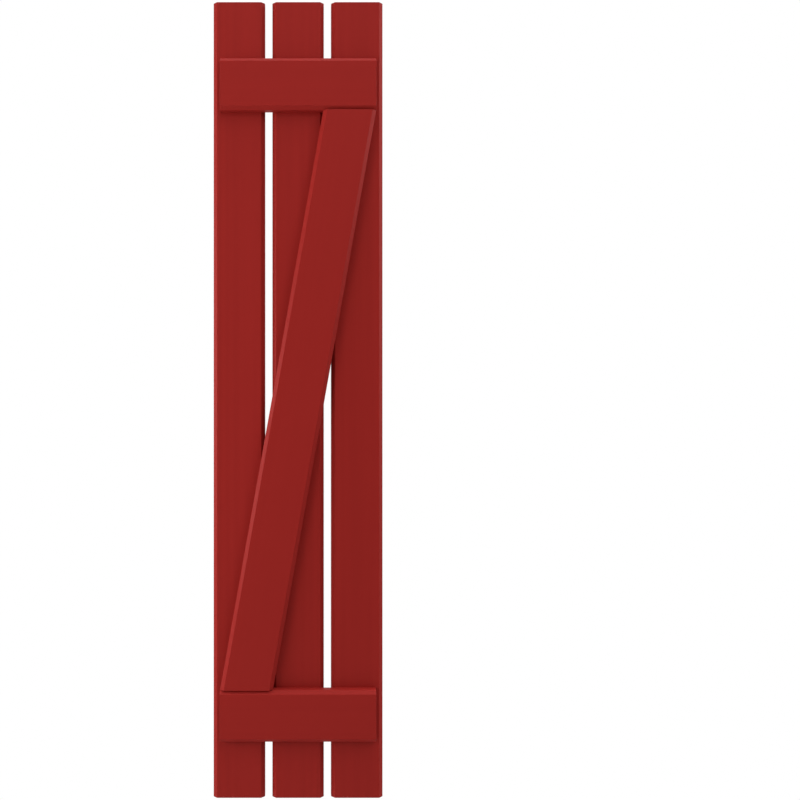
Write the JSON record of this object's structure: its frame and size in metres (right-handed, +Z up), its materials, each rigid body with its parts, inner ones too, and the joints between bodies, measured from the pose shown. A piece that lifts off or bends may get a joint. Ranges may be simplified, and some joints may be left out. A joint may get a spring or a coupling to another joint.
{
  "type": "board and batten shutter",
  "caption": "Painted exterior window shutter of spaced upright boards, held by level battens and a diagonal brace that are screwed on from the back.",
  "frame": {"origin": "centre of the back, on the plane that lies against the wall", "axes": "+X to the right seen from the front, +Y out of the back into the wall, +Z up along the boards"},
  "size_m": [0.2922, 0.0381, 1.3716],
  "materials": {
    "board_paint": "satin",
    "batten_paint": "satin",
    "screw_steel": "zinc plated"
  },
  "bodies": {
    "root": {"board_left": "board_paint", "board_centre": "board_paint", "board_right": "board_paint", "top_batten": "batten_paint", "bottom_batten": "batten_paint", "brace": "batten_paint", "top_batten_screws": "screw_steel", "bottom_batten_screws": "screw_steel", "brace_screws": "screw_steel"}
  },
  "joints": []
}
